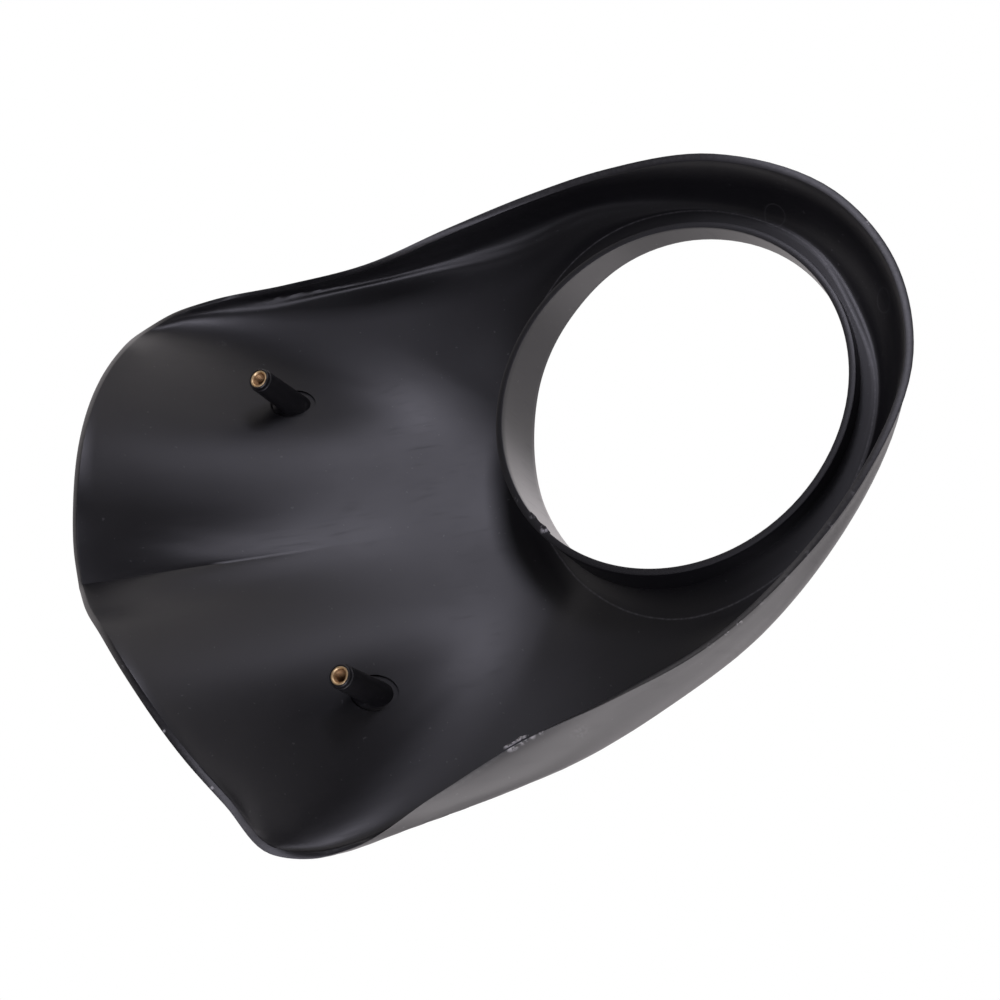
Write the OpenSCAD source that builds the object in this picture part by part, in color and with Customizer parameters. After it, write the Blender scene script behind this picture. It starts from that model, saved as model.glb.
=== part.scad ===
// Headlight cowl: one black moulding that carries a round headlamp in a tube and
// rises into a small screen, with two posts inside that hold pressed brass inserts.
// Y points rearward along the tube, Z up, X across; the origin is the centre of the
// tube's rear rim. All sizes are in millimetres.

/* [Whole part] */
// piece to draw, or all of them

/* [Moulding] */
// thickness of the moulded skin
skin_t = 3.2; // [2.6:0.1:3.8]
// how far the outer skin runs past the inner one at the rear edge
edge_bevel = 1.2; // [0.6:0.1:1.6]
// height of the crown above the tube's axis
crown_h = 241.5; // [236:0.5:246]
// how far behind the tube's rim the crown lies
crown_back = 77.5; // [73:0.5:82]
// depth of the chin below the tube's axis
chin_drop = 104.5; // [103:0.5:108]
// half width at the upper corners
corner_half_w = 134; // [130:1:138]
// half width at the waist beside the tube
waist_half_w = 117; // [114:1:120]

/* [Headlight tube] */
// bore that takes the headlamp, at the tube's rear
tube_bore_d = 150; // [149:0.5:151]
// length of the straight part of the bore
bore_land = 8; // [6:0.5:8.5]
// how much wider in radius the bore is at its front
bore_draft = 0.4; // [0.1:0.1:0.6]
// wall of the tube
tube_wall = 3; // [2.5:0.1:3.4]
// length of the tube at its top
tube_depth_top = 36; // [34:1:39]
// length of the tube at its bottom
tube_depth_low = 10; // [9:0.5:12]

/* [Posts] */
// distance of each post from the middle plane
post_x = 72; // [70:0.5:74]
// height of the posts above the tube's axis
post_z = 154; // [151:0.5:157]
// how far behind the tube's rim the post tips lie
post_tip_y = 46; // [43:0.5:50]
// diameter of the neck at the tip
neck_d = 9.4; // [9.2:0.1:10]
// length of the neck
neck_len = 1.8; // [1.2:0.1:2.6]
// diameter just below the neck
post_top_d = 10.4; // [10:0.1:11]
// diameter at the foot
post_foot_d = 11.4; // [11:0.1:12]
// diameter of the shallow recess round the foot
moat_d = 15; // [13:0.5:17]
// depth of that recess
moat_depth = 1; // [0.6:0.1:1.4]

/* [Brass inserts] */
// outer diameter over the knurl
insert_d = 7.8; // [7.4:0.1:8]
// length of an insert
insert_len = 10; // [8:0.5:12]
// core of the thread
insert_bore_d = 5; // [4.8:0.1:5.4]
// play left round an insert in its pocket
insert_play = 0.05; // [0.02:0.01:0.1]
// width of each ring groove
groove_w = 1; // [0.6:0.1:1.4]
// depth of each ring groove
groove_depth = 0.5; // [0.3:0.1:0.6]
// where the groove nearer the tip starts, as a share of the length
first_groove = 0.3; // [0.2:0.01:0.35]
// where the other groove starts, as a share of the length
second_groove = 0.62; // [0.55:0.01:0.7]

/* [Hidden] */
$fn = 72;
tube_bore_r = tube_bore_d / 2;
tube_r = tube_bore_r + tube_wall;
insert_r = insert_d / 2;
spans = 16;
cols_per_span = 3;
half_cols = spans * cols_per_span;
cols = 2 * half_cols;
profile_steps = 10;
join_r = tube_bore_r - 2;
crease_r = tube_r + 2;
// how far cutting shapes run past what they cut
beyond = 2;
// places well behind and well in front of the whole part
behind_y = 110;
front_y = -60;
// overlap of the post's neck with its body
neck_root = 0.4;

// rear edge of the outer skin on one side, from the crown round to the chin
edge_points = [
    [0, crown_back, crown_h],
    [14, crown_back + 5.5, crown_h - 4.5],
    [31, crown_back + 11.5, crown_h - 12.5],
    [50.5, crown_back + 12, crown_h - 19],
    [90, crown_back - 1.5, crown_h - 29.5],
    [corner_half_w - 25.5, 63.5, 206.5],
    [corner_half_w - 7, 45, 202.5],
    [corner_half_w - 1, 38, 190],
    [corner_half_w, 32, 174.5],
    [corner_half_w - 8, 25, 139],
    [waist_half_w + 1.5, 19, 101.5],
    [waist_half_w, 15, 61],
    [waist_half_w - 3.5, 12.5, 23],
    [waist_half_w - 13, 14.5, -13],
    [waist_half_w - 35, 17.5, -58],
    [waist_half_w - 76.5, 13.5, 9 - chin_drop],
    [0, 12, -chin_drop]
];

// section of the outer skin at angles measured from the crown: angle, depth of the
// tube's front, radius of the crease round it, radius and depth of the bend, its tightness
bend_stations = [
    [0, -tube_depth_top, crease_r, 160, 7, 1.5],
    [13, -tube_depth_top, crease_r + 1.5, 172, 8, 0.8],
    [25, -tube_depth_top + 2, crease_r + 3, 206, 22, 0.7],
    [33, -tube_depth_top + 4.5, crease_r + 4.5, 230.5, 20.5, 0.8],
    [41, -tube_depth_top + 7.5, crease_r + 6, 207.5, 9, 2.6],
    [52, -tube_depth_top + 11, crease_r + 8.5, 172.5, -11.5, 3.1],
    [67, -tube_depth_top + 15, crease_r + 11, 135, -22.5, 2.4],
    [90, -tube_depth_low - 4.5, crease_r + 11, 112, -15.5, 2],
    [110, -tube_depth_low - 2, crease_r + 8, 98, -13.5, 2],
    [132, -tube_depth_low - 1.5, crease_r + 5.5, 93.5, -12, 2],
    [156, -tube_depth_low - 0.5, crease_r + 3.5, 93, -11, 2],
    [180, -tube_depth_low, crease_r, 93, -10.5, 2]
];

function sum_to(list, last) = last < 0 ? 0 : list[last] + sum_to(list, last - 1);

// slope of a smooth curve at one knot, from the two spans that meet there
function knot_slope(values, knots, i) =
    let (
        last = len(values) - 1,
        before = i > 0 ? (values[i] - values[i - 1]) / (knots[i] - knots[i - 1]) : 0,
        after = i < last ? (values[i + 1] - values[i]) / (knots[i + 1] - knots[i]) : 0
    )
    i == 0 ? after :
    i == last ? before :
    let (a = knots[i] - knots[i - 1], b = knots[i + 1] - knots[i])
    (before * b + after * a) / (a + b);

// value of the curve between knots i and i + 1, s running from 0 to 1
function span_value(values, knots, i, s, start_slope, end_slope) =
    let (w = knots[i + 1] - knots[i], s2 = s * s, s3 = s2 * s)
    values[i] * (2 * s3 - 3 * s2 + 1) + start_slope * w * (s3 - 2 * s2 + s)
    + values[i + 1] * (3 * s2 - 2 * s3) + end_slope * w * (s3 - s2);

edge_lengths = [for (i = [1:spans]) norm(edge_points[i] - edge_points[i - 1])];
edge_knots = [for (i = [0:spans]) sum_to(edge_lengths, i - 1)];

// the chin is level, so the curve closes smoothly with its mirror image
function edge_slope(i) =
    i == spans ? [1, 0, 0] * (edge_points[i][0] - edge_points[i - 1][0]) / edge_lengths[i - 1]
    : knot_slope(edge_points, edge_knots, i);

function edge_at(column) =
    let (i = min(floor(column / cols_per_span), spans - 1), s = column / cols_per_span - i)
    span_value(edge_points, edge_knots, i, s, edge_slope(i), edge_slope(i + 1));

station_angles = [for (row = bend_stations) row[0]];
station_sizes = [for (row = bend_stations) [row[1], row[2], row[3], row[4], row[5]]];

function station_slope(i) =
    i == 0 || i == len(station_angles) - 1 ? [0, 0, 0, 0, 0]
    : knot_slope(station_sizes, station_angles, i);

function station_at(angle, i = 0) =
    i < len(station_angles) - 2 && angle > station_angles[i + 1] ? station_at(angle, i + 1)
    : let (s = (angle - station_angles[i]) / (station_angles[i + 1] - station_angles[i]))
    span_value(station_sizes, station_angles, i, s, station_slope(i), station_slope(i + 1));

// the three guide points of a section in its own plane: radius, depth
function outer_guides(edge, size) = [
    [size[1], size[0]],
    [size[2], size[3]],
    [norm([edge[0], edge[2]]), edge[1]]
];

function inward(a, b) = let (d = (b - a) / norm(b - a)) [-d[1], d[0]];

// the same guides moved towards the inside by a depth, drawn back at the rear edge
function shifted_guides(guides, depth, back) =
    let (
        first = inward(guides[0], guides[1]),
        last = inward(guides[1], guides[2]),
        along = (guides[2] - guides[1]) / norm(guides[2] - guides[1])
    )
    [
        guides[0] + first * depth,
        guides[1] + (first + last) * depth / (1 + first * last),
        guides[2] + last * depth - along * back
    ];

function bend_point(guides, tightness, t) =
    let (a = (1 - t) * (1 - t), b = 2 * t * (1 - t) * tightness, c = t * t)
    (guides[0] * a + guides[1] * b + guides[2] * c) / (a + b + c);

// one section as points in space: a flat start inside the tube wall, then the bend
function section(column, depth, back) =
    let (
        side = column <= half_cols ? 1 : -1,
        edge = edge_at(column <= half_cols ? column : cols - column),
        angle = atan2(edge[0], edge[2]),
        size = station_at(angle),
        guides = shifted_guides(outer_guides(edge, size), depth, back),
        flat = [concat([join_r], [guides[0][1]])],
        bend = [for (k = [0:profile_steps]) bend_point(guides, size[4], k / profile_steps)]
    )
    [for (p = concat(flat, bend)) [side * p[0] * sin(angle), p[1], p[0] * cos(angle)]];

// faces between neighbouring sections of a closed ring of equal loops
function ring_faces(count, size) = [
    for (i = [0:count - 1], k = [0:size - 1])
        let (
            a = i * size + k,
            b = i * size + (k + 1) % size,
            c = ((i + 1) % count) * size + (k + 1) % size,
            d = ((i + 1) % count) * size + k
        )
        each [[a, b, c], [a, c, d]]
];

// a solid that closes on itself round the tube, from one loop of points per column
module ring_solid(loops) {
    polyhedron(
        points = [for (loop = loops) each loop],
        faces = ring_faces(len(loops), len(loops[0])),
        convexity = 8
    );
}

function reversed(list) = [for (i = [len(list) - 1:-1:0]) list[i]];

// the freeform skin, from the front of the tube out to the rear edge
module skin() {
    ring_solid([
        for (i = [0:cols - 1])
            concat(section(i, 0, 0), reversed(section(i, skin_t, edge_bevel)))
    ]);
}

// stock for the tube, its front end buried in the skin
module tube_stock() {
    ring_solid([
        for (i = [0:cols - 1])
            let (
                side = i <= half_cols ? 1 : -1,
                edge = edge_at(i <= half_cols ? i : cols - i),
                angle = atan2(edge[0], edge[2]),
                front = station_at(angle)[0] + skin_t / 2,
                x = side * sin(angle),
                z = cos(angle)
            )
            [
                [join_r * x, front, join_r * z],
                [(tube_r + beyond) * x, front, (tube_r + beyond) * z],
                [(tube_r + beyond) * x, beyond, (tube_r + beyond) * z],
                [join_r * x, beyond, join_r * z]
            ]
    ]);
}

module along_y(y_start, y_end, r_start, r_end) {
    translate([0, y_start, 0])
        rotate([-90, 0, 0])
            cylinder(h = y_end - y_start, r1 = r_start, r2 = r_end);
}

// faces of a block between a lower and an upper grid of the same size
function block_faces(n, m) =
    let (top = n * m)
    [
        for (i = [0:n - 2], k = [0:m - 2])
            let (a = i * m + k, b = a + 1, c = a + m + 1, d = a + m)
            each [[a, b, c], [a, c, d], [top + a, top + c, top + b], [top + a, top + d, top + c]],
        for (k = [0:m - 2])
            let (a = k, b = k + 1, c = (n - 1) * m + k, d = c + 1)
            each [[a, top + b, b], [a, top + a, top + b], [c, d, top + d], [c, top + d, top + c]],
        for (i = [0:n - 2])
            let (a = i * m, b = a + m, c = a + m - 1, d = c + m)
            each [[a, b, top + b], [a, top + b, top + a], [c, top + d, d], [c, top + c, top + d]]
    ];

first_post_col = 3 * cols_per_span;
last_post_col = 6 * cols_per_span;
post_rows = [3:profile_steps];

// everything behind a surface that lies a given depth inside the outer skin, near a post
module behind_skin(depth) {
    columns = [for (i = [first_post_col:last_post_col]) section(i, depth, 0)];
    grid = [for (column = columns) [for (k = post_rows) column[k]]];
    lower = [for (column = grid) each column];
    upper = [for (p = lower) [p[0], behind_y, p[2]]];
    polyhedron(
        points = concat(lower, upper),
        faces = block_faces(len(grid), len(grid[0])),
        convexity = 6
    );
}

module post_profile() {
    translate([post_x, 0, post_z]) {
        along_y(post_tip_y - neck_len - neck_root, post_tip_y, neck_d / 2, neck_d / 2);
        along_y(front_y, post_tip_y - neck_len, post_foot_d / 2, post_top_d / 2);
    }
}

module post() {
    intersection() {
        post_profile();
        behind_skin(skin_t / 2);
    }
}

module moat() {
    intersection() {
        translate([post_x, 0, post_z])
            along_y(front_y, behind_y, moat_d / 2, moat_d / 2);
        behind_skin(skin_t - moat_depth);
    }
}

module pocket() {
    translate([post_x, 0, post_z])
        along_y(
            post_tip_y - insert_len - insert_play,
            post_tip_y + beyond,
            insert_r + insert_play,
            insert_r + insert_play
        );
}

module both_sides() {
    children();
    mirror([1, 0, 0])
        children();
}

// straight at the rear, then a little wider towards the front
module bore() {
    along_y(-bore_land, beyond * 2, tube_bore_r, tube_bore_r);
    along_y(-tube_depth_top - beyond, -bore_land, tube_bore_r + bore_draft, tube_bore_r);
}

module cowl_shell() {
    color([0.05, 0.05, 0.055])
        difference() {
            union() {
                difference() {
                    skin();
                    both_sides()
                        moat();
                }
                intersection() {
                    tube_stock();
                    along_y(front_y, 0, tube_r, tube_r);
                }
                both_sides()
                    post();
            }
            bore();
            both_sides()
                pocket();
        }
}

module insert() {
    bore_r = insert_bore_d / 2;
    low_r = insert_r - groove_depth;
    first = insert_len * first_groove;
    second = insert_len * second_groove;
    translate([0, post_tip_y, 0])
        rotate([90, 0, 0])
            rotate_extrude()
                polygon([
                    [bore_r, 0],
                    [insert_r, 0],
                    [insert_r, first],
                    [low_r, first],
                    [low_r, first + groove_w],
                    [insert_r, first + groove_w],
                    [insert_r, second],
                    [low_r, second],
                    [low_r, second + groove_w],
                    [insert_r, second + groove_w],
                    [insert_r, insert_len],
                    [bore_r, insert_len]
                ]);
}

module insert_left() {
    color([0.75, 0.6, 0.3])
        translate([-post_x, 0, post_z])
            insert();
}

module insert_right() {
    color([0.75, 0.6, 0.3])
        translate([post_x, 0, post_z])
            insert();
}

cowl_shell();
insert_left();
insert_right();
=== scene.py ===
"""Looks of the headlight cowl: one black moulding with two pressed brass inserts.

The skin, the lamp tube and the posts are rebuilt as one fine mesh from the same
sections as the solids, and stand for the solid moulding. The part's own axes hold
throughout: Y rearward along the tube, Z up, X across. Lengths of the pieces and of the
marks on them are in millimetres, those of the studio and its lamps in metres.
"""

import logging
import math
from dataclasses import dataclass, field
from enum import Enum
from typing import Any, Callable, Optional, Sequence, Union

import bmesh
import bpy
import numpy as np
from mathutils import Matrix, Vector
from mathutils.bvhtree import BVHTree


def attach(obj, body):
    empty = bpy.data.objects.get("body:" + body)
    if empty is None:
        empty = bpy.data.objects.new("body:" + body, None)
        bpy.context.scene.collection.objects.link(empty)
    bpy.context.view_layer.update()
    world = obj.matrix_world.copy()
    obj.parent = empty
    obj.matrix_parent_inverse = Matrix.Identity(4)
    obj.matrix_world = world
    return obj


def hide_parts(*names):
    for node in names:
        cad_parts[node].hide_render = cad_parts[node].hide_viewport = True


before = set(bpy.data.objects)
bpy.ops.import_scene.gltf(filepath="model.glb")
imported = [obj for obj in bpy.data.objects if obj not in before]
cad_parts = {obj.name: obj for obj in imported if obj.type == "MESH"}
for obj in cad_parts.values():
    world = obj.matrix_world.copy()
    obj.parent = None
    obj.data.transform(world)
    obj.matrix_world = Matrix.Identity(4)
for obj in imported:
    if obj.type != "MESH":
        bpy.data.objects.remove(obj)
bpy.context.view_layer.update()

LOG = logging.getLogger("cowl")
MM = 0.001
TO_MM = (1000.0, 1000.0, 1000.0)
CORNER_POINTS = 3
HALF_TURN = 180.0
# radius and depths, in millimetres, that the grey levels of a painted highlight line's ramps stand
# for
RADIUS_SPAN = 300.0
DEPTH_SPAN = 200.0
DEPTH_SHIFT = 60.0

Triple = tuple[float, float, float]
Number = Union[int, float]
Depth = Union[float, Callable[[float, float], float]]


class Role(Enum):
    """What a light does in the set."""

    KEY = "key"
    FILL = "fill"
    TOP = "top"
    SIDE = "side"
    RIM = "rim"
    FRONT = "front"


class Slot(Enum):
    """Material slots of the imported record."""

    PLASTIC = "black_plastic"
    BRASS = "brass_insert"


class Val:
    """A socket that carries one number, with arithmetic that adds Math nodes."""

    def __init__(self, graph: "Graph", socket: bpy.types.NodeSocket) -> None:
        """Wrap one output socket of a graph."""
        self.graph = graph
        self.socket = socket

    def __add__(self, other: Union["Val", Number]) -> "Val":
        """Sum."""
        return self.graph.math("ADD", self, other)

    def __radd__(self, other: Number) -> "Val":
        """Sum with the number first."""
        return self.graph.math("ADD", other, self)

    def __sub__(self, other: Union["Val", Number]) -> "Val":
        """Difference."""
        return self.graph.math("SUBTRACT", self, other)

    def __rsub__(self, other: Number) -> "Val":
        """Difference with the number first."""
        return self.graph.math("SUBTRACT", other, self)

    def __mul__(self, other: Union["Val", Number]) -> "Val":
        """Product."""
        return self.graph.math("MULTIPLY", self, other)

    def __rmul__(self, other: Number) -> "Val":
        """Product with the number first."""
        return self.graph.math("MULTIPLY", other, self)

    def __truediv__(self, other: Union["Val", Number]) -> "Val":
        """Quotient."""
        return self.graph.math("DIVIDE", self, other)

    def __pow__(self, other: Number) -> "Val":
        """Power."""
        return self.graph.math("POWER", self, other)

    def clamp(self) -> "Val":
        """The value held between 0 and 1."""
        return self.graph.math("MINIMUM", self.graph.math("MAXIMUM", self, 0.0), 1.0)

    def larger(self, other: Union["Val", Number]) -> "Val":
        """The larger of two values."""
        return self.graph.math("MAXIMUM", self, other)


Input = Union[Val, bpy.types.NodeSocket, Number, Sequence[float], None]


class Graph:
    """Node tree under construction."""

    def __init__(self, tree: bpy.types.NodeTree) -> None:
        """Empty a tree and keep it."""
        self.tree = tree
        tree.nodes.clear()

    def node(
        self,
        kind: str,
        settings: Optional[dict[str, Any]] = None,
        inputs: Optional[dict[Union[int, str], Input]] = None,
    ) -> bpy.types.Node:
        """Add one node.

        Args:
            kind: Blender's name of the node type.
            settings: Attributes of the node, set before its sockets.
            inputs: Values or links of its input sockets, by name or place.

        Returns:
            The new node.
        """
        made = self.tree.nodes.new(kind)
        for name, value in (settings or {}).items():
            if name == "stops":
                self._stops(made, value)
            else:
                setattr(made, name, value)
        for key, value in (inputs or {}).items():
            self.feed(made.inputs[key], value)
        return made

    @staticmethod
    def _stops(ramp: bpy.types.Node, stops: Sequence[tuple[float, float]]) -> None:
        """Set a ramp's stops.

        Args:
            ramp: The ramp's node.
            stops: Position and grey level of each stop.
        """
        elements = ramp.color_ramp.elements
        while len(elements) < len(stops):
            elements.new(0.5)
        for element, (place, level) in zip(elements, stops):
            element.position = place
            element.color = (level, level, level, 1.0)

    def feed(self, socket: bpy.types.NodeSocket, value: Input) -> None:
        """Link or set one input socket.

        Args:
            socket: The input.
            value: A wrapped value, a socket or a plain value.
        """
        if value is None:
            return
        if isinstance(value, Val):
            self.tree.links.new(value.socket, socket)
        elif isinstance(value, bpy.types.NodeSocket):
            self.tree.links.new(value, socket)
        else:
            socket.default_value = value

    def math(self, operation: str, first: Union[Val, Number], second: Union[Val, Number]) -> Val:
        """Add a Math node on two values."""
        made = self.node("ShaderNodeMath", {"operation": operation}, {0: first, 1: second})
        return Val(self, made.outputs[0])

    def place(self) -> bpy.types.NodeSocket:
        """Position on the object, in metres."""
        return self.node("ShaderNodeTexCoord").outputs["Object"]

    def scaled(self, vector: bpy.types.NodeSocket, factors: Triple) -> bpy.types.NodeSocket:
        """A vector with each part multiplied."""
        made = self.node("ShaderNodeVectorMath", {"operation": "MULTIPLY"}, {0: vector, 1: factors})
        return made.outputs[0]

    def place_mm(self) -> tuple[Val, Val, Val]:
        """Position on the object as three numbers, in millimetres."""
        split = self.node("ShaderNodeSeparateXYZ", inputs={0: self.scaled(self.place(), TO_MM)})
        return Val(self, split.outputs[0]), Val(self, split.outputs[1]), Val(self, split.outputs[2])

    def noise(
        self, scale: float, detail: float = 4.0, vector: Optional[bpy.types.NodeSocket] = None
    ) -> Val:
        """Fractal noise from 0 to 1.

        Args:
            scale: Cells per metre of the vector.
            detail: Octaves.
            vector: Place to read it at, the object's own when left out.

        Returns:
            The noise's value.
        """
        made = self.node(
            "ShaderNodeTexNoise",
            inputs={
                "Vector": vector if vector is not None else self.place(),
                "Scale": scale,
                "Detail": detail,
            },
        )
        return Val(self, made.outputs[0])

    def ramp(self, value: Val, *stops: tuple[float, float]) -> Val:
        """A value sent through a grey ramp."""
        made = self.node("ShaderNodeValToRGB", {"stops": stops}, {0: value})
        return Val(self, made.outputs[0])

    def near(self, centre: Triple, reach: float) -> Val:
        """1 at a point, falling to 0 at a distance.

        Args:
            centre: The point, in millimetres.
            reach: The distance, in millimetres.

        Returns:
            The mask.
        """
        made = self.node(
            "ShaderNodeVectorMath",
            {"operation": "DISTANCE"},
            {0: self.place(), 1: tuple(c * MM for c in centre)},
        )
        return (1.0 - Val(self, made.outputs["Value"]) / (reach * MM)).clamp()

    def tint(self, mask: Val, low: Triple, high: Triple) -> bpy.types.NodeSocket:
        """Colour between two colours by a mask."""
        return self.blend(mask, (*low, 1.0), (*high, 1.0))

    def blend(self, mask: Val, low: Input, high: Input) -> bpy.types.NodeSocket:
        """Mix of two colours or colour sockets by a mask."""
        made = self.node("ShaderNodeMix", {"data_type": "RGBA"}, {0: mask, 6: low, 7: high})
        return made.outputs[2]

    def bump(self, height: Val, distance: float, strength: float) -> bpy.types.NodeSocket:
        """Normal from a height.

        Args:
            height: The height's value.
            distance: Metres for a height of one.
            strength: Share of the effect.

        Returns:
            The normal's socket.
        """
        made = self.node(
            "ShaderNodeBump",
            inputs={"Height": height, "Distance": distance, "Strength": strength},
        )
        return made.outputs[0]


@dataclass(frozen=True)
class ScuffOrHighlight:
    """A pale place on the plastic, used for rubbed spots and for painted highlights alike."""

    centre: Triple
    reach: float
    strength: float


@dataclass(frozen=True)
class PinMark:
    """Faint ring that an ejector pin left on the inside."""

    centre: Triple
    radius: float
    strength: float = 0.03


@dataclass(frozen=True)
class PaintedHighlightLine:
    """Painted highlight: a thin pale line round the tube's axis, painted where an edge would catch
    the light.

    Each stop is an angle from the crown, a radius and a depth, in degrees and millimetres.
    """

    stops: tuple[Triple, ...]
    half_width: float
    strength: float

    # the mask says where the painted highlight line is coloured pale
    def mask(self, graph: Graph) -> Val:
        """Make the line's mask.

        Args:
            graph: The tree to build in.

        Returns:
            The mask, from 0 to 1.
        """
        x, y, z = graph.place_mm()
        turn = graph.math("ARCTAN2", x.larger(-1.0 * x), z) / math.pi
        reach = (x * x + z * z) ** 0.5
        radii = [(a / HALF_TURN, r / RADIUS_SPAN) for a, r, _ in self.stops]
        depths = [(a / HALF_TURN, (d + DEPTH_SHIFT) / DEPTH_SPAN) for a, _, d in self.stops]
        radius = graph.ramp(turn, *radii) * RADIUS_SPAN
        depth = graph.ramp(turn, *depths) * DEPTH_SPAN - DEPTH_SHIFT
        off = (reach - radius).larger(radius - reach)
        below = (y - depth).larger(depth - y)
        return (1.0 - off.larger(below * 0.5) / self.half_width).clamp()


@dataclass(frozen=True)
class MouldedPlastic:
    """Satin black plastic as it leaves the mould, with handling marks and painted highlights."""

    colour: Triple = (0.0068, 0.0066, 0.0078)
    pale: Triple = (0.6, 0.59, 0.6)
    roughness: float = 0.38
    grain: float = 2600.0
    scuffs_and_highlights: tuple[ScuffOrHighlight, ...] = ()
    rings: tuple[PinMark, ...] = ()
    painted_highlight_lines: tuple[PaintedHighlightLine, ...] = ()

    def build(self) -> bpy.types.Material:
        """Make the material.

        Returns:
            The plastic, with its scuffs, pin marks, painted highlight lines and painted highlight
            spots.
        """
        made = bpy.data.materials.new("moulded_black_plastic")
        made.use_nodes = True
        graph = Graph(made.node_tree)
        drift = graph.noise(9.0, 3.0)
        cloud = graph.noise(38.0, 5.0)
        grain = graph.noise(self.grain, 2.0)
        streaks = graph.noise(55.0, 6.0, graph.scaled(graph.place(), (14.0, 1.0, 1.6)))
        fine = graph.ramp(streaks, (0.56, 0.0), (0.72, 1.0))
        dust = graph.ramp(graph.noise(520.0, 1.0), (0.755, 0.0), (0.79, 1.0))
        # pale marks: real dust, scuffs and pin marks, and painted highlights: lines along the
        # crease and the rear edge's face, and spots at the posts' feet
        wear_and_highlight: Val = dust * 0.05
        ragged = graph.ramp(graph.noise(620.0, 4.0), (0.44, 0.0), (0.58, 1.0))
        for pale_spot in self.scuffs_and_highlights:
            wear_and_highlight = wear_and_highlight.larger(graph.near(pale_spot.centre, pale_spot.reach) * ragged * pale_spot.strength)
        for ring in self.rings:
            inside = graph.near(ring.centre, ring.radius * 2.0)
            line = graph.ramp(inside, (0.46, 0.0), (0.49, 1.0), (0.51, 1.0), (0.54, 0.0))
            wear_and_highlight = wear_and_highlight.larger(line * ring.strength)
        # painted highlights: pale lines along the crease round the tube and on the rear edge's face
        for highlight_line in self.painted_highlight_lines:
            wear_and_highlight = wear_and_highlight.larger(highlight_line.mask(graph) * (0.5 + ragged * 0.5) * highlight_line.strength)
        darker = tuple(c * 0.86 for c in self.colour)
        lighter = tuple(c * 1.2 for c in self.colour)
        base = graph.tint(cloud, darker, lighter)
        colour = graph.blend(wear_and_highlight.clamp(), base, (*self.pale, 1.0))
        rough = self.roughness + (drift - 0.5) * 0.10 + (cloud - 0.5) * 0.05
        rough = rough + fine * 0.045 + wear_and_highlight * 0.2
        normal = graph.bump(grain * 0.5 + streaks * 0.5, 0.00002, 0.5)
        shader = graph.node(
            "ShaderNodeBsdfPrincipled",
            inputs={"Base Color": colour, "Roughness": rough, "Normal": normal, "IOR": 1.5},
        )
        graph.node("ShaderNodeOutputMaterial", inputs={"Surface": shader.outputs[0]})
        return made


@dataclass(frozen=True)
class TurnedBrass:
    """Bright turned brass, with painted shade inside the bore."""

    colour: Triple = (0.93, 0.7, 0.4)
    dull: Triple = (0.5, 0.34, 0.18)
    # painted shade: the darker colour put inside the bore
    bore_shade_colour: Triple = (0.42, 0.26, 0.13)
    roughness: float = 0.4
    axis: tuple[float, float] = (72.0, 154.0)
    bore_r: float = 2.95

    def build(self) -> bpy.types.Material:
        """Make the material.

        Returns:
            The brass, with painted shade inside the bore.
        """
        made = bpy.data.materials.new("turned_brass")
        made.use_nodes = True
        graph = Graph(made.node_tree)
        stain = graph.ramp(graph.noise(340.0, 4.0), (0.42, 0.0), (0.7, 1.0))
        rings = graph.noise(900.0, 2.0, graph.scaled(graph.place(), (1.0, 6.0, 1.0)))
        x, _, z = graph.place_mm()
        z = z - self.axis[1]
        x = x.larger(-1.0 * x) - self.axis[0]
        # painted shade: the bore's colour is darker than the face's
        inside = ((self.bore_r - (x * x + z * z) ** 0.5) * 6.0).clamp()
        face = graph.tint(stain * 0.6, self.colour, self.dull)
        colour = graph.blend(inside, face, (*self.bore_shade_colour, 1.0))
        shader = graph.node(
            "ShaderNodeBsdfPrincipled",
            inputs={
                "Base Color": colour,
                "Metallic": 1.0,
                "Roughness": self.roughness + stain * 0.14 + (rings - 0.5) * 0.08 + inside * 0.15,
                "Normal": graph.bump(rings, 0.00002, 0.6),
            },
        )
        graph.node("ShaderNodeOutputMaterial", inputs={"Surface": shader.outputs[0]})
        return made


@dataclass(frozen=True)
class PaleFloor:
    """Matt pale floor that still takes a shadow."""

    colour: Triple = (0.86, 0.86, 0.86)

    def build(self) -> bpy.types.Material:
        """Make the material.

        Returns:
            The floor's material.
        """
        made = bpy.data.materials.new("pale_floor")
        made.use_nodes = True
        graph = Graph(made.node_tree)
        mottle = graph.noise(6.0, 4.0)
        colour = graph.tint(mottle, tuple(c * 0.985 for c in self.colour), self.colour)
        shader = graph.node(
            "ShaderNodeBsdfPrincipled", inputs={"Base Color": colour, "Roughness": 0.9}
        )
        graph.node("ShaderNodeOutputMaterial", inputs={"Surface": shader.outputs[0]})
        return made


def mesh_object(name: str, points: np.ndarray, faces: Sequence[Sequence[int]]) -> bpy.types.Object:
    """Make a linked object from points in millimetres.

    Args:
        name: Name of the object and its mesh.
        points: Points, one row each.
        faces: Loops of point numbers.

    Returns:
        The object, at the origin.
    """
    mesh = bpy.data.meshes.new(name)
    mesh.from_pydata((np.asarray(points) * MM).tolist(), [], [list(f) for f in faces])
    mesh.validate()
    made = bpy.data.objects.new(name, mesh)
    bpy.context.scene.collection.objects.link(made)
    return made


def apply_boolean(target: bpy.types.Object, tool: bpy.types.Object, operation: str) -> None:
    """Cut or join a closed mesh with another and remove the tool.

    Args:
        target: The object that keeps the result.
        tool: The other closed mesh.
        operation: Blender's name of the operation.
    """
    modifier = target.modifiers.new("step", "BOOLEAN")
    modifier.operation = operation
    modifier.solver = "EXACT"
    modifier.object = tool
    graph = bpy.context.evaluated_depsgraph_get()
    result = bpy.data.meshes.new_from_object(target.evaluated_get(graph))
    old = target.data
    target.modifiers.clear()
    result.name = old.name
    target.data = result
    bpy.data.meshes.remove(old)
    tool_mesh = tool.data
    bpy.data.objects.remove(tool)
    bpy.data.meshes.remove(tool_mesh)


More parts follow.
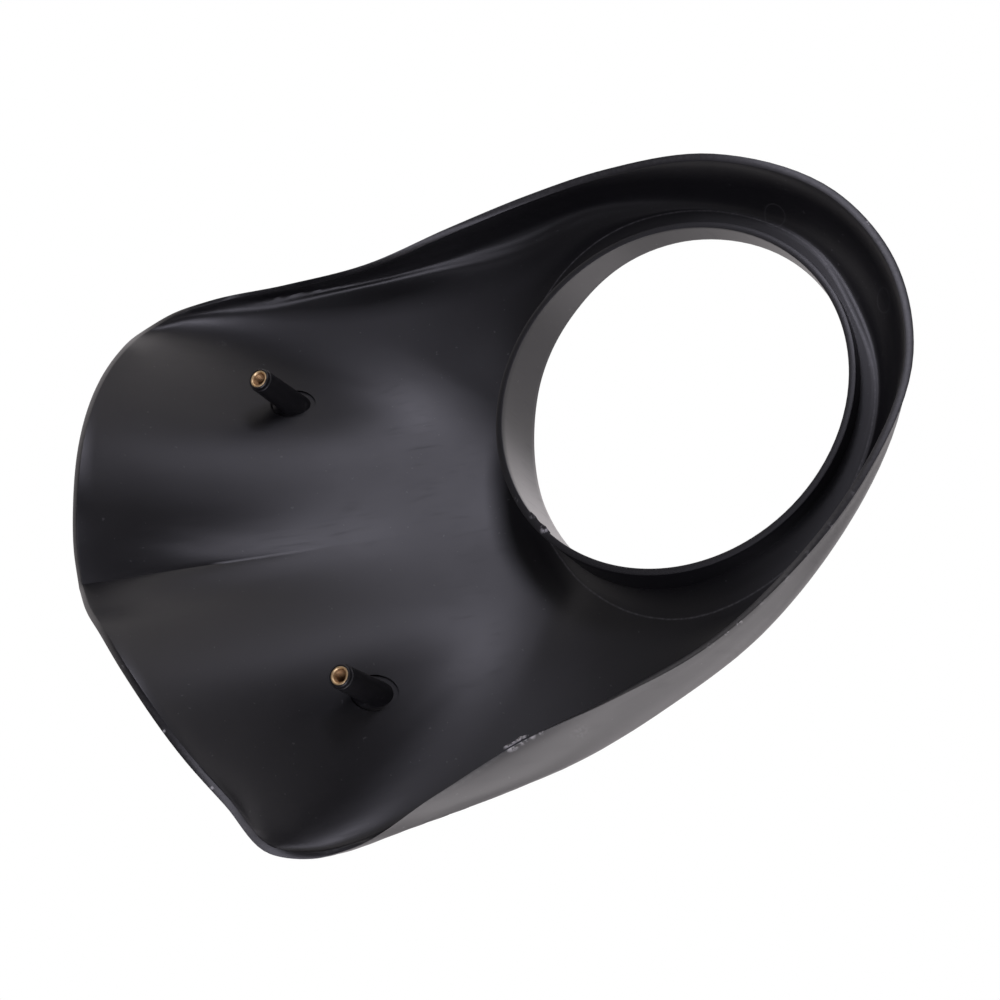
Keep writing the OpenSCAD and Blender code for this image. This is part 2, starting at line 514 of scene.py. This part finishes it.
def smooth(target: bpy.types.Object, angle: float) -> None:
    """Shade smooth with edges sharper than an angle, in degrees, kept sharp."""
    target.data.shade_smooth()
    target.data.set_sharp_from_angle(angle=math.radians(angle))


def round_points(
    before: np.ndarray, corner: np.ndarray, after: np.ndarray, radius: float
) -> list[np.ndarray]:
    """Points that round a corner of a section, as many as CORNER_POINTS says.

    Args:
        before: A point on the way in.
        corner: The corner.
        after: A point on the way out.
        radius: Distance from the corner at which the rounding starts.

    Returns:
        Three points, from the way in to the way out.
    """
    start = corner + (before - corner) / np.linalg.norm(before - corner) * radius
    end = corner + (after - corner) / np.linalg.norm(after - corner) * radius
    return [start, (start + end + 2 * corner) / 4, end]


@dataclass(frozen=True)
class SkinForm:
    """Freeform skin of the cowl as sections through the tube's axis.

    Each row of bends is an angle from the crown, the depth of the tube's front, the
    radius of the crease round it, the radius and depth of the bend and its tightness.
    """

    thickness: float = 3.2
    bevel: float = 1.2
    tube_r: float = 78.0
    bore_r: float = 75.0
    draft: float = 0.4
    land: float = 8.0
    tube_depth: float = 36.0
    edge: tuple[Triple, ...] = (
        (0, 77.5, 241.5), (14, 83, 237), (31, 89, 229), (50.5, 89.5, 222.5), (90, 76, 212),
        (108.5, 63.5, 206.5), (127, 45, 202.5), (133, 38, 190), (134, 32, 174.5),
        (126, 25, 139), (118.5, 19, 101.5), (117, 15, 61), (113.5, 12.5, 23),
        (104, 14.5, -13), (82, 17.5, -58), (40.5, 13.5, -95.5), (0, 12, -104.5),
    )
    bends: tuple[tuple[float, ...], ...] = (
        (0, -36, 80, 160, 7, 1.5), (13, -36, 81.5, 172, 8, 0.8),
        (25, -34, 83, 206, 22, 0.7), (33, -31.5, 84.5, 230.5, 20.5, 0.8),
        (41, -28.5, 86, 207.5, 9, 2.6), (52, -25, 88.5, 172.5, -11.5, 3.1),
        (67, -21, 91, 135, -22.5, 2.4), (90, -14.5, 91, 112, -15.5, 2),
        (110, -12, 88, 98, -13.5, 2), (132, -11.5, 85.5, 93.5, -12, 2),
        (156, -10.5, 83.5, 93, -11, 2), (180, -10, 80, 93, -10.5, 2),
    )

    @staticmethod
    def _curve(knots: np.ndarray, values: np.ndarray, slopes: np.ndarray, at: float) -> np.ndarray:
        """Value of a smooth curve through knots.

        Args:
            knots: Places of the known values.
            values: The known values.
            slopes: The curve's slope at each knot.
            at: Place to read.

        Returns:
            The value there.
        """
        i = int(np.clip(np.searchsorted(knots, at, side="right") - 1, 0, len(knots) - 2))
        width = knots[i + 1] - knots[i]
        s = (at - knots[i]) / width
        return (
            values[i] * (2 * s**3 - 3 * s**2 + 1)
            + slopes[i] * width * (s**3 - 2 * s**2 + s)
            + values[i + 1] * (3 * s**2 - 2 * s**3)
            + slopes[i + 1] * width * (s**3 - s**2)
        )

    @staticmethod
    def _slopes(knots: np.ndarray, values: np.ndarray) -> np.ndarray:
        """Slope at each knot from the spans that meet there.

        Args:
            knots: Places of the known values.
            values: The known values.

        Returns:
            The slopes, one row for each knot.
        """
        steps = np.diff(values, axis=0) / np.diff(knots)[:, None]
        slopes = np.empty_like(values)
        slopes[0], slopes[-1] = steps[0], steps[-1]
        wide = np.diff(knots)
        for i in range(1, len(knots) - 1):
            slopes[i] = (steps[i - 1] * wide[i] + steps[i] * wide[i - 1]) / (wide[i] + wide[i - 1])
        return slopes

    def edge_at(self, u: float) -> np.ndarray:
        """Point on the rear edge.

        Args:
            u: Place along one side, whole numbers at the given points.

        Returns:
            The point.
        """
        points = np.array(self.edge, float)
        lengths = np.linalg.norm(np.diff(points, axis=0), axis=1)
        knots = np.concatenate([[0.0], np.cumsum(lengths)])
        slopes = self._slopes(knots, points)
        slopes[-1] = [(points[-1, 0] - points[-2, 0]) / lengths[-1], 0.0, 0.0]
        i = min(int(u), len(points) - 2)
        return self._curve(knots, points, slopes, knots[i] + (u - i) * lengths[i])

    def bend_at(self, angle: float) -> np.ndarray:
        """Values of one section between the given ones.

        Args:
            angle: Angle from the crown, in degrees.

        Returns:
            A row of bends without its angle.
        """
        table = np.array(self.bends, float)
        knots, values = table[:, 0], table[:, 1:]
        slopes = self._slopes(knots, values)
        slopes[0] = slopes[-1] = 0.0
        return self._curve(knots, values, slopes, angle)

    def guides(self, edge: np.ndarray, bend: np.ndarray, depth: float, back: float) -> np.ndarray:
        """Three guide points of a section, as radius and depth.

        Args:
            edge: The rear edge's point.
            bend: The values of bend_at.
            depth: Distance inside the outer skin.
            back: Distance by which the rear end is drawn back.

        Returns:
            The guides, one row each.
        """
        start = np.array([bend[1], bend[0]])
        corner = np.array([bend[2], bend[3]])
        end = np.array([math.hypot(edge[0], edge[2]), edge[1]])
        ways = [corner - start, end - corner]
        ways = [w / np.linalg.norm(w) for w in ways]
        inward = [np.array([-w[1], w[0]]) for w in ways]
        return np.array(
            [
                start + inward[0] * depth,
                corner + (inward[0] + inward[1]) * depth / (1 + inward[0] @ inward[1]),
                end + inward[1] * depth - ways[1] * back,
            ]
        )

    @staticmethod
    def bend_points(guides: np.ndarray, tightness: float, steps: np.ndarray) -> np.ndarray:
        """Points of the bend between its guides.

        Args:
            guides: The three guides, one row each.
            tightness: How strongly the bend is drawn to the middle guide.
            steps: Places along the bend, from 0 to 1.

        Returns:
            The points, one row each.
        """
        a = (1 - steps) ** 2
        b = 2 * steps * (1 - steps) * tightness
        c = steps**2
        drawn = np.outer(a, guides[0]) + np.outer(b, guides[1]) + np.outer(c, guides[2])
        return drawn / (a + b + c)[:, None]


@dataclass(frozen=True)
class Burr:
    """Ragged sliver of torn plastic along a short path."""

    path: tuple[np.ndarray, ...]
    way: Triple
    height: float
    width: float = 0.45

    def build(self) -> bpy.types.Object:
        """Make the sliver as a closed strip.

        Returns:
            The object, in the part's frame.
        """
        way = np.array(self.way) / np.linalg.norm(self.way)
        sunk = way * 0.4
        points: list[np.ndarray] = []
        for i, base in enumerate(self.path):
            share = i / (len(self.path) - 1)
            ragged = 0.55 + 0.45 * math.sin(7.3 * i + 1.0)
            rise = self.height * (0.15 + math.sin(math.pi * share) * ragged)
            ahead = self.path[min(i + 1, len(self.path) - 1)] - self.path[max(i - 1, 0)]
            across = np.cross(ahead / np.linalg.norm(ahead), way) * self.width
            lean = across * math.sin(3.1 * i)
            points += [base - across - sunk, base + across - sunk, base + lean + way * rise]
        faces: list[Sequence[int]] = [(0, 1, 2)]
        for i in range(0, len(points) - 3, 3):
            faces += [(i + k, i + 3 + k, i + 3 + (k + 1) % 3, i + (k + 1) % 3) for k in range(3)]
        faces.append((len(points) - 1, len(points) - 2, len(points) - 3))
        return mesh_object("sliver", np.array(points), faces)


@dataclass
class CowlShell:
    """The moulding: skin, lamp tube and both posts."""

    form: SkinForm = field(default_factory=SkinForm)
    per_span: int = 9
    bend_rows: int = 30
    wall_rows: int = 9
    arris: float = 0.45
    patch: float = 26.0
    most: float = 2.0
    post_x: float = 72.0
    post_z: float = 154.0
    tip_y: float = 46.0
    neck_r: float = 4.7
    neck_len: float = 1.8
    top_r: float = 5.2
    foot_r: float = 5.7
    post_len: float = 36.0
    moat_r: float = 7.5
    moat_depth: float = 1.0
    pocket_r: float = 3.95
    pocket_len: float = 10.05
    around: int = 64

    def section(self, u: float) -> np.ndarray:
        """Closed section of skin and tube in one plane.

        Args:
            u: Place along the rear edge, from crown to chin.

        Returns:
            Points as radius and depth, from the bore's front round to it again.
        """
        form = self.form
        edge = form.edge_at(u)
        angle = math.degrees(math.atan2(edge[0], edge[2]))
        bend = form.bend_at(angle)
        outer_guides = form.guides(edge, bend, 0.0, 0.0)
        inner_guides = form.guides(edge, bend, form.thickness, form.bevel)
        steps = np.linspace(0.0, 1.0, self.bend_rows)
        outer = form.bend_points(outer_guides, bend[4], steps)
        inner = form.bend_points(inner_guides, bend[4], steps)[::-1]
        widening = form.draft * (-form.land - bend[0]) / (form.tube_depth - form.land)
        front = np.array([form.bore_r + widening, bend[0]])
        rim_out = np.array([form.tube_r, 0.0])
        rim_in = np.array([form.bore_r, 0.0])
        root = np.array([form.tube_r, inner[-1][1]])
        loop = round_points(rim_in, front, outer[0], self.arris)
        loop += list(outer[:-1])
        loop += round_points(outer[-2], outer[-1], inner[0], self.arris)
        loop += round_points(outer[-1], inner[0], inner[1], self.arris)
        loop += list(inner[1:])
        loop += [inner[-1] + (root - inner[-1]) * k / 3 for k in range(1, 3)]
        loop += [root + (rim_out - root) * k / 4 for k in range(0, 4)]
        loop += round_points(root, rim_out, rim_in, self.arris)
        loop += round_points(rim_out, rim_in, front, self.arris)
        loop += [rim_in + (front - rim_in) * k / self.wall_rows for k in range(1, self.wall_rows)]
        return np.array(loop)

    def painted_highlight_lines(self) -> tuple[PaintedHighlightLine, PaintedHighlightLine]:
        """Painted highlight lines for the plastic.

        Returns:
            The painted highlights along the crease round the tube and on the face of the rear edge.
        """
        rows = self.bend_rows - 1
        crease_at = 3 * CORNER_POINTS + 2 * rows - 1
        rim_from = CORNER_POINTS + rows
        rim_to = rim_from + 2 * CORNER_POINTS - 1
        places = []
        for u in np.linspace(0.0, len(self.form.edge) - 1.0, 161):
            edge = self.form.edge_at(u)
            loop = self.section(u)
            rim = (loop[rim_from] + loop[rim_to]) / 2
            places.append((math.degrees(math.atan2(edge[0], edge[2])), *loop[crease_at], *rim))
        table = np.array(places)
        angles = np.linspace(0.0, HALF_TURN, 31)
        values = [np.interp(angles, table[:, 0], table[:, k]) for k in range(1, 5)]
        crease = tuple(zip(angles.tolist(), values[0].tolist(), values[1].tolist()))
        rim = tuple(zip(angles.tolist(), values[2].tolist(), values[3].tolist()))
        # painted highlights: the crease line and the rear edge's face are coloured pale
        return (
            PaintedHighlightLine(crease, half_width=0.55, strength=0.12),
            PaintedHighlightLine(rim, half_width=1.5, strength=0.045),
        )

    def skin_mesh(self) -> bpy.types.Object:
        """Build skin and tube as one closed ring of sections.

        Returns:
            The object, without posts.
        """
        half = (len(self.form.edge) - 1) * self.per_span
        loops = []
        for column in range(2 * half):
            side = 1.0 if column <= half else -1.0
            u = (column if column <= half else 2 * half - column) / self.per_span
            edge = self.form.edge_at(u)
            angle = math.atan2(edge[0], edge[2])
            section = self.section(u)
            loops.append(
                np.stack(
                    [
                        side * section[:, 0] * math.sin(angle),
                        section[:, 1],
                        section[:, 0] * math.cos(angle),
                    ],
                    axis=1,
                )
            )
        loops = self.faired(np.array(loops))
        count, size = loops.shape[:2]
        faces = [
            (
                i * size + k,
                ((i + 1) % count) * size + k,
                ((i + 1) % count) * size + (k + 1) % size,
                i * size + (k + 1) % size,
            )
            for i in range(count)
            for k in range(size)
        ]
        return mesh_object("cowl_moulding", loops.reshape(-1, 3), faces)

    def faired(self, loops: np.ndarray) -> np.ndarray:
        """Even out the skin between its given sections; its rims stay where they are.

        Each point of the inner skin moves along its normal onto a curved patch fitted
        to the points round it, and the outer skin moves with it.

        Args:
            loops: Points by section and place in the section.

        Returns:
            The points after the move.
        """
        rows = self.bend_rows - 1
        outer = CORNER_POINTS + np.arange(rows)
        inner = 3 * CORNER_POINTS + 2 * rows - 1 - np.arange(rows)
        share = np.arange(rows) / rows
        skin = loops[:, inner]
        along = np.roll(skin, -1, 0) - np.roll(skin, 1, 0)
        normal = np.cross(along, np.gradient(skin, axis=1))
        normal /= np.linalg.norm(normal, axis=2)[..., None]
        cloud, ways = skin[::2].reshape(-1, 3), normal[::2].reshape(-1, 3)
        half = len(loops) // 2
        moves = np.zeros(skin.shape[:2])
        for i in range(half + 1):
            for k in range(rows):
                offset = cloud - skin[i, k]
                reach = (offset**2).sum(1)
                near = reach < (2.4 * self.patch) ** 2
                offset, reach = offset[near], reach[near]
                n = normal[i, k]
                first = np.cross(n, (1.0, 0.0, 0.0) if abs(n[0]) < 0.8 else (0.0, 0.0, 1.0))
                first /= np.linalg.norm(first)
                a, b, c = offset @ first, offset @ np.cross(n, first), offset @ n
                weight = np.exp(-reach / (2 * self.patch**2)) * np.clip(ways[near] @ n, 0, 1) ** 2
                terms = np.stack([np.ones_like(a), a, b, a * a, a * b, b * b], axis=1)
                heavy = terms * weight[:, None]
                moves[i, k] = np.linalg.solve(heavy.T @ terms + np.eye(6) * 1e-9, heavy.T @ c)[0]
        moves[half + 1 :] = moves[1:half][::-1]
        fade = np.clip(share / 0.1, 0, 1) * np.clip((1 - share) / 0.15, 0, 1)
        moves = self.most * np.tanh(moves / self.most) * fade
        result = loops.copy()
        result[:, inner] += normal * moves[..., None]
        result[:, outer] += normal * moves[..., None]
        LOG.info("skin evened out by at most %.2f mm", float(np.abs(moves).max()))
        return result

    def rings(self, name: str, rows: Sequence[Sequence[Triple]]) -> bpy.types.Object:
        """Closed turned solid from rings of points, capped at both ends.

        Args:
            name: Name of the object.
            rows: Rings from front to rear, each a closed loop of points.

        Returns:
            The object.
        """
        n = len(rows[0])
        faces: list[Sequence[int]] = [list(range(n))]
        for i in range(len(rows) - 1):
            for k in range(n):
                a, b = i * n + k, i * n + (k + 1) % n
                faces.append((a, a + n, b + n, b))
        faces.append(list(range(len(rows) * n - 1, (len(rows) - 1) * n - 1, -1)))
        return mesh_object(name, np.array([p for row in rows for p in row]), faces)

    def ring(self, side: float, radius: float, depth: Depth) -> list[Triple]:
        """Loop of points round a post's axis.

        Args:
            side: 1 or -1.
            radius: Its radius.
            depth: Its depth, or a function of x and z that gives it.

        Returns:
            The points.
        """
        loop = []
        for k in range(self.around):
            turn = 2 * math.pi * k / self.around
            x = side * self.post_x + radius * math.cos(turn)
            z = self.post_z + radius * math.sin(turn)
            y = depth(x, z) if callable(depth) else depth
            loop.append((x, y, z))
        return loop

    def add_posts(self, shell: bpy.types.Object) -> None:
        """Sink the recesses into the skin, raise the posts and drill the pockets.

        Args:
            shell: The skin and tube.
        """
        mesh = bmesh.new()
        mesh.from_mesh(shell.data)
        tree = BVHTree.FromBMesh(mesh)
        mesh.free()
        down = Vector((0.0, -1.0, 0.0))

        def inner_depth(x: float, z: float) -> float:
            """Depth of the inner skin behind a point."""
            hit = tree.ray_cast(Vector((x * MM, 0.2, z * MM)), down)[0]
            return hit.y / MM

        def moat_floor(x: float, z: float) -> float:
            """Depth of the recess's floor."""
            return inner_depth(x, z) - self.moat_depth

        def buried(x: float, z: float) -> float:
            """Depth at which the post's foot ends inside the skin."""
            return inner_depth(x, z) - self.form.thickness * 0.6

        slant = (self.foot_r - self.top_r) / self.post_len
        for side in (1.0, -1.0):
            shares = (0.25, 0.5, 0.75, 0.92, 1.0)
            floor = [self.ring(side, self.moat_r * s, moat_floor) for s in shares]
            floor.append(self.ring(side, self.moat_r + 0.35, lambda x, z: inner_depth(x, z) + 0.05))
            floor.append(self.ring(side, self.moat_r + 0.8, lambda x, z: inner_depth(x, z) + 3.0))
            apply_boolean(shell, self.rings("moat", floor), "DIFFERENCE")
            neck_y = self.tip_y - self.neck_len
            body = [self.ring(side, self.foot_r, buried)]
            for y in (22.0, 30.0, 38.0, neck_y - 0.35):
                body.append(self.ring(side, self.top_r + slant * (neck_y - y), y))
            body.append(self.ring(side, self.top_r - 0.25, neck_y))
            body.append(self.ring(side, self.neck_r, neck_y + 0.05))
            body.append(self.ring(side, self.neck_r, self.tip_y - 0.3))
            body.append(self.ring(side, self.neck_r - 0.3, self.tip_y))
            apply_boolean(shell, self.rings("post", body), "UNION")
            hole = [
                self.ring(side, self.pocket_r, self.tip_y - self.pocket_len),
                self.ring(side, self.pocket_r, self.tip_y + 2.0),
            ]
            apply_boolean(shell, self.rings("pocket", hole), "DIFFERENCE")

    def add_burrs(self, shell: bpy.types.Object) -> None:
        """Leave the torn flash where the photograph shows it.

        Args:
            shell: The moulding.
        """
        edge = [self.form.edge_at(9.84 + 0.035 * i) - (1.3, 0.2, 0.0) for i in range(9)]
        turns = [math.radians(16.0 + 1.3 * i) for i in range(9)]
        rim = [np.array((74.9 * math.sin(t), -0.3, 74.9 * math.cos(t))) for t in turns]
        burrs = (
            Burr(tuple(edge), (-0.3, 1.0, 0.1), height=1.7),
            Burr(tuple(rim), (-0.35, 0.35, -0.9), height=1.1),
        )
        joined = bmesh.new()
        joined.from_mesh(shell.data)
        for burr in burrs:
            sliver = burr.build()
            joined.from_mesh(sliver.data)
            sliver_mesh = sliver.data
            bpy.data.objects.remove(sliver)
            bpy.data.meshes.remove(sliver_mesh)
        joined.to_mesh(shell.data)
        joined.free()

    def build(self, finish: MouldedPlastic) -> bpy.types.Object:
        """Make the moulding and dress it.

        Args:
            finish: The plastic.

        Returns:
            The object, riding on the root body.
        """
        shell = self.skin_mesh()
        self.add_posts(shell)
        self.add_burrs(shell)
        smooth(shell, 32.0)
        shell.data.materials.clear()
        shell.data.materials.append(finish.build())
        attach(shell, "root")
        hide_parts("cowl_shell")
        LOG.info("moulding: %d faces", len(shell.data.polygons))
        return shell


@dataclass
class BrassInsert:
    """Pressed brass insert with a threaded bore, in the tip of a post."""

    name: str
    side: float
    post_x: float = 72.0
    post_z: float = 154.0
    tip_y: float = 46.0
    outer_r: float = 3.9
    bore_r: float = 2.5
    length: float = 10.0
    pitch: float = 1.0
    thread_depth: float = 0.42
    around: int = 72
    chamfer: float = 0.35

    def build(self, metal: bpy.types.Material) -> bpy.types.Object:
        """Make the insert as a turned ring with a simplified thread.

        The thread's turns slope along the bore, and each closes with a step of one pitch.

        Args:
            metal: The brass.

        Returns:
            The object, riding on the root body.
        """
        outline = [
            (self.bore_r, -self.length),
            (self.outer_r, -self.length),
            (self.outer_r, -self.chamfer * 0.5),
            (self.outer_r - self.chamfer * 0.5, 0.0),
            (self.bore_r + self.thread_depth + self.chamfer, 0.0),
            (self.bore_r + self.thread_depth, -self.chamfer),
        ]
        turns = int(self.length - 1.0)
        points: list[Triple] = []
        for k in range(self.around):
            turn = 2 * math.pi * k / self.around
            row = list(outline)
            for step in range(2 * turns):
                depth = -self.chamfer - 0.35 - (step / 2 + k / self.around) * self.pitch
                reach = self.bore_r + (self.thread_depth if step % 2 else 0.0)
                row.append((reach, depth))
            for radius, y in row:
                points.append(
                    (
                        self.side * self.post_x + radius * math.cos(turn),
                        self.tip_y + y,
                        self.post_z + radius * math.sin(turn),
                    )
                )
        size = len(outline) + 2 * turns
        faces = []
        for k in range(self.around):
            j = (k + 1) % self.around
            for i in range(size):
                m = (i + 1) % size
                faces.append((k * size + i, k * size + m, j * size + m, j * size + i))
        made = mesh_object(self.name + "_turned", np.array(points), faces)
        smooth(made, 30.0)
        made.data.materials.append(metal)
        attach(made, "root")
        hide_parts(self.name)
        LOG.info("%s: %d faces", self.name, len(made.data.polygons))
        return made


@dataclass(frozen=True)
class SoftLight:
    """One area lamp aimed at a point."""

    role: Role
    place: Triple
    aim: Triple
    size: float
    power: float
    colour: Triple

    def build(self) -> bpy.types.Object:
        """Make the lamp.

        Returns:
            The lamp's object.
        """
        lamp = bpy.data.lights.new(self.role.value, "AREA")
        lamp.shape = "SQUARE"
        lamp.size = self.size
        lamp.energy = self.power
        lamp.color = self.colour
        made = bpy.data.objects.new(self.role.value, lamp)
        made.location = self.place
        way = Vector(self.aim) - Vector(self.place)
        made.rotation_euler = way.to_track_quat("-Z", "Y").to_euler()
        bpy.context.scene.collection.objects.link(made)
        return made


@dataclass
class Studio:
    """Camera, floor, world and lamps."""

    camera_place: Triple = (0.360894, 0.636868, -0.115595)
    camera_right: Triple = (0.28238, -0.42414, -0.86045)
    camera_up: Triple = (-0.83824, 0.32709, -0.43632)
    camera_back: Triple = (0.4665, 0.84447, -0.26316)
    lens: float = 64.8
    sensor: float = 36.0
    floor_z: float = -0.4
    floor_x: float = 1.2
    floor_y: tuple[float, float] = (-2.2, 0.15)
    bounce: Triple = (1.0, 0.945, 0.96)
    backdrop: float = 1.0
    near_side: float = 0.08
    lights: tuple[SoftLight, ...] = ()

    def camera(self) -> None:
        """Place the camera where the photograph was taken from."""
        data = bpy.data.cameras.new("camera")
        data.lens = self.lens
        data.sensor_width = self.sensor
        data.clip_start = 0.01
        data.clip_end = 50.0
        made = bpy.data.objects.new("camera", data)
        turn = Matrix((self.camera_right, self.camera_up, self.camera_back)).transposed()
        made.matrix_world = Matrix.Translation(self.camera_place) @ turn.to_4x4()
        bpy.context.scene.collection.objects.link(made)
        bpy.context.scene.camera = made

    def floor(self) -> None:
        """Lay the pale floor well below the part."""
        x, z = self.floor_x / MM, self.floor_z / MM
        back, front = (y / MM for y in self.floor_y)
        corners = [(-x, back, z), (x, back, z), (x, front, z), (-x, front, z)]
        made = mesh_object("floor", np.array(corners), [(0, 1, 2, 3)])
        made.data.materials.append(PaleFloor().build())

    def world(self) -> None:
        """White towards the backdrop, dim on the camera's side, white for the camera."""
        world = bpy.data.worlds.new("studio")
        bpy.context.scene.world = world
        world.use_nodes = True
        graph = Graph(world.node_tree)
        way = graph.node("ShaderNodeTexCoord").outputs["Generated"]
        toward = graph.node(
            "ShaderNodeVectorMath", {"operation": "DOT_PRODUCT"}, {0: way, 1: self.camera_back}
        )
        facing = Val(graph, toward.outputs["Value"])
        level = graph.ramp(
            facing * 0.5 + 0.5,
            (0.0, self.backdrop),
            (0.46, self.backdrop * 0.9),
            (0.62, self.near_side),
            (1.0, self.near_side),
        )
        path = graph.node("ShaderNodeLightPath")
        camera_ray = Val(graph, path.outputs["Is Camera Ray"])
        strength = level.larger(camera_ray)
        colour = graph.tint(camera_ray, self.bounce, (1.0, 1.0, 1.0))
        sky = graph.node("ShaderNodeBackground", inputs={"Color": colour, "Strength": strength})
        graph.node("ShaderNodeOutputWorld", inputs={"Surface": sky.outputs[0]})

    def build(self) -> None:
        """Set up the whole studio."""
        scene = bpy.context.scene
        scene.view_settings.view_transform = "Standard"
        self.camera()
        self.floor()
        self.world()
        for light in self.lights:
            light.build()
        LOG.info("studio: %d lamps", len(self.lights))


def handling_marks_and_highlights() -> tuple[ScuffOrHighlight, ...]:
    """Rubbed places on the rear edge, the tube's rim and the skin, and painted highlights at the
    recesses round the posts' feet.
    """
    return (
        ScuffOrHighlight((118.2, 20.0, 104.0), 3.6, 1.0),
        ScuffOrHighlight((117.6, 18.9, 99.5), 2.8, 0.85),
        ScuffOrHighlight((117.4, 18.2, 95.5), 2.2, 0.7),
        ScuffOrHighlight((117.2, 17.6, 91.5), 2.0, 0.6),
        ScuffOrHighlight((22.5, 0.0, 71.5), 2.0, 0.4),
        ScuffOrHighlight((30.8, 0.0, 68.5), 2.6, 0.8),
        ScuffOrHighlight((12.5, 0.0, 76.5), 1.4, 0.4),
        ScuffOrHighlight((110.2, 12.6, 5.0), 1.6, 0.9),
        ScuffOrHighlight((111.6, 12.4, 11.0), 1.4, 0.8),
        ScuffOrHighlight((112.6, 12.2, 19.0), 2.4, 0.14),
        ScuffOrHighlight((107.0, 13.6, -6.0), 2.4, 0.16),
        ScuffOrHighlight((102.5, 14.2, -18.0), 2.4, 0.14),
        ScuffOrHighlight((97.5, 15.4, -29.0), 2.4, 0.16),
        ScuffOrHighlight((91.5, 16.4, -41.0), 2.4, 0.14),
        ScuffOrHighlight((83.5, 17.0, -54.0), 2.2, 0.12),
        ScuffOrHighlight((121.0, 8.8, 79.4), 5.0, 0.05),
        ScuffOrHighlight((-113.7, 25.0, 176.6), 3.0, 0.05),
        ScuffOrHighlight((49.0, 89.9, 221.5), 0.9, 0.8),
        ScuffOrHighlight((77.9, 81.9, 214.2), 0.9, 0.7),
        ScuffOrHighlight((101.9, 68.3, 207.2), 0.9, 0.7),
        ScuffOrHighlight((-20.3, 12.6, -101.3), 1.2, 0.8),
        # painted highlights: pale crescents at the far edges of the recesses round the posts' feet
        ScuffOrHighlight((-68.2, 16.6, 147.6), 3.4, 0.09),
        ScuffOrHighlight((67.2, 17.0, 148.6), 2.8, 0.07),
    )


def lamps() -> tuple[SoftLight, ...]:
    """The set's lamps, cool on the inner side and warm on the outer one."""
    middle, cool, warm = (0.0, 0.03, 0.08), (0.87, 0.85, 1.0), (1.0, 0.95, 0.975)
    return (
        SoftLight(Role.KEY, (-0.215, 0.35, -0.16), (-0.045, 0.01, 0.095), 0.15, 0.62, cool),
        SoftLight(Role.FILL, (0.748, 0.689, 0.129), middle, 0.62, 4.5, cool),
        SoftLight(Role.TOP, (-0.1, 0.9, 0.1), middle, 0.3, 0.35, cool),
        SoftLight(Role.SIDE, (0.956, -0.179, 0.239), middle, 0.62, 4.9, warm),
        SoftLight(Role.RIM, (0.697, -0.667, -0.079), middle, 0.62, 1.8, warm),
        SoftLight(Role.FRONT, (-0.61, -0.711, -0.2), middle, 0.62, 1.2, warm),
    )


def main() -> None:
    """Build every piece, then the studio around it."""
    logging.basicConfig(level=logging.INFO, format="%(message)s")
    pins = (PinMark((-56.3, -6.5, -68.6), 5.0), PinMark((7.1, -0.1, -93.9), 5.0))
    shell = CowlShell()
    plastic = MouldedPlastic(scuffs_and_highlights=handling_marks_and_highlights(), rings=pins, painted_highlight_lines=shell.painted_highlight_lines())
    shell.build(plastic)
    brass = TurnedBrass().build()
    for name, side in (("insert_left", -1.0), ("insert_right", 1.0)):
        BrassInsert(name, side).build(brass)
    Studio(lights=lamps()).build()


if __name__ == "__main__":
    main()
